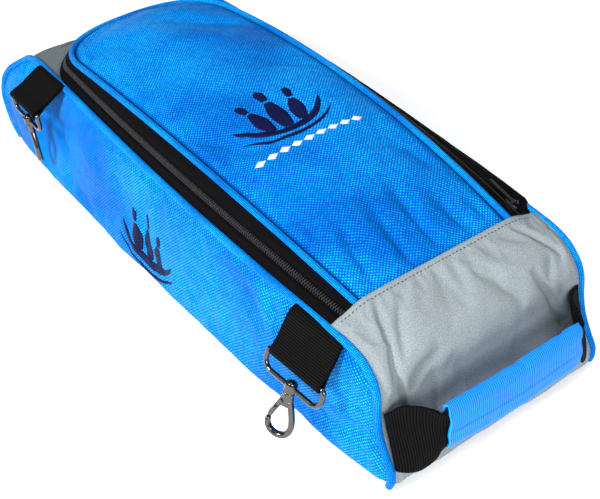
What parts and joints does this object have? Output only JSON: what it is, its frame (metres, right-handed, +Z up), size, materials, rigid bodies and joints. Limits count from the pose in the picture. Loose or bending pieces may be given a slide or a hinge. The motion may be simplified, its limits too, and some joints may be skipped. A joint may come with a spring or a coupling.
{
  "type": "clip-on bowling shoe bag",
  "caption": "Long padded fabric case with a zipped, arched lid, a padded end handle and swivel snap hooks on webbing tabs for clipping it to a ball bag.",
  "frame": {"origin": "middle of the base, on its underside", "axes": "+X along the bag towards the end with the handle, +Z up, -Y towards the front side"},
  "size_m": [0.606, 0.2639, 0.1408],
  "materials": {
    "blue_nylon": "woven ballistic nylon",
    "blue_piping": "woven nylon cord cover",
    "gray_polyester": "fine twill polyester",
    "base_fabric": "coated black nylon",
    "stiffener_board": "stiff sheet",
    "foam": "closed-cell foam",
    "lining_fabric": "smooth black taffeta",
    "navy_thread": "satin-stitch embroidery",
    "white_thread": "satin-stitch embroidery",
    "zip_tape": "woven tape",
    "zip_coil": "nylon coil",
    "slider_metal": "dark nickel plate",
    "pull_coating": "black enamel",
    "black_webbing": "ribbed polypropylene webbing",
    "blue_sleeve": "ribbed padded sleeve",
    "clasp_metal": "gunmetal nickel plate"
  },
  "bodies": {
    "root": {"side_panel_front": "blue_nylon", "side_panel_back": "blue_nylon", "end_panel_near": "gray_polyester", "end_panel_far": "gray_polyester", "bottom_panel": "base_fabric", "base_board": "stiffener_board", "side_foam_front": "foam", "side_foam_back": "foam", "end_foam_near": "foam", "end_foam_far": "foam", "lining": "lining_fabric", "side_piping_front": "blue_piping", "side_piping_back": "blue_piping", "side_emblem": "navy_thread", "zip_tape_base": "zip_tape", "zip_coil_base": "zip_coil", "zip_end_stops": "slider_metal", "handle_anchor_front": "black_webbing", "handle_anchor_back": "black_webbing"},
    "lid": {"lid_panel": "blue_nylon", "lid_foam": "foam", "lid_lining": "lining_fabric", "lid_piping": "blue_piping", "lid_emblem": "navy_thread", "lid_stripe": "white_thread", "zip_tape_lid": "zip_tape", "zip_coil_lid": "zip_coil"},
    "slider": {"zip_slider": "slider_metal"},
    "pull": {"zip_pull": "pull_coating"},
    "handle": {"handle_webbing": "black_webbing", "handle_padding": "foam", "handle_sleeve": "blue_sleeve"},
    "front_near_tab": {"tab_front_near": "black_webbing"},
    "front_near_ring": {"ring_front_near": "clasp_metal"},
    "front_near_hook": {"hook_front_near": "clasp_metal", "rivet_front_near": "clasp_metal", "spring_front_near": "clasp_metal"},
    "front_near_gate": {"gate_front_near": "clasp_metal"},
    "front_far_tab": {"tab_front_far": "black_webbing"},
    "front_far_ring": {"ring_front_far": "clasp_metal"},
    "front_far_hook": {"hook_front_far": "clasp_metal", "rivet_front_far": "clasp_metal", "spring_front_far": "clasp_metal"},
    "front_far_gate": {"gate_front_far": "clasp_metal"}
  },
  "joints": [
    {"name": "lid_hinge", "type": "hinge", "parent": "root", "child": "lid", "pos_m": [0.212, 0, 0.114], "axis": [0, 1, 0], "range_deg": [0, 115]},
    {"name": "slider_run", "type": "hinge", "parent": "root", "child": "slider", "pos_m": [0, -1.08067, -0.93923], "axis": [0, -0.6691, 0.7431], "range_deg": [0, 13.27]},
    {"name": "pull_flip", "type": "hinge", "parent": "slider", "child": "pull", "pos_m": [0.20059, 0.08752, 0.11262], "axis": [0, 0.6691, -0.7431], "range_deg": [0, 160]},
    {"name": "handle_swing", "type": "hinge", "parent": "root", "child": "handle", "pos_m": [0.281, 0, 0.045], "axis": [0, -1, 0], "range_deg": [-5, 30]},
    {"name": "front_near_tab_flap", "type": "hinge", "parent": "root", "child": "front_near_tab", "pos_m": [0.208, -0.1035, 0.104], "axis": [-0.9903, -0.118, 0.0738], "range_deg": [0, 70]},
    {"name": "front_near_ring_swing", "type": "hinge", "parent": "front_near_tab", "child": "front_near_ring", "pos_m": [0.208, -0.12099, 0.07601], "axis": [-0.9903, -0.118, 0.0738], "range_deg": [-3, 70]},
    {"name": "front_near_hook_swivel", "type": "hinge", "parent": "front_near_ring", "child": "front_near_hook", "pos_m": [0.20754, -0.12649, 0.061], "axis": [0.0289, 0.3437, 0.9386], "continuous": true},
    {"name": "front_near_gate_open", "type": "hinge", "parent": "front_near_hook", "child": "front_near_gate", "pos_m": [0.20398, -0.1325, 0.04946], "axis": [0.4666, -0.8351, 0.2914], "range_deg": [0, 25], "stiffness_Nm_per_rad": 0.03, "springref_deg": -11.46},
    {"name": "front_far_tab_flap", "type": "hinge", "parent": "root", "child": "front_far_tab", "pos_m": [-0.196, -0.1003, 0.1055], "axis": [-0.9986, 0.0262, -0.0453], "range_deg": [0, 45]},
    {"name": "front_far_ring_swing", "type": "hinge", "parent": "front_far_tab", "child": "front_far_ring", "pos_m": [-0.196, -0.12888, 0.089], "axis": [-0.9986, 0.0262, -0.0453], "range_deg": [0, 70]},
    {"name": "front_far_hook_swivel", "type": "hinge", "parent": "front_far_ring", "child": "front_far_hook", "pos_m": [-0.19526, -0.12833, 0.07303], "axis": [-0.0462, -0.0343, 0.9983], "continuous": true},
    {"name": "front_far_gate_open", "type": "hinge", "parent": "front_far_hook", "child": "front_far_gate", "pos_m": [-0.19811, -0.12686, 0.05992], "axis": [-0.2822, -0.9583, -0.046], "range_deg": [0, 25], "stiffness_Nm_per_rad": 0.03, "springref_deg": -11.46}
  ]
}
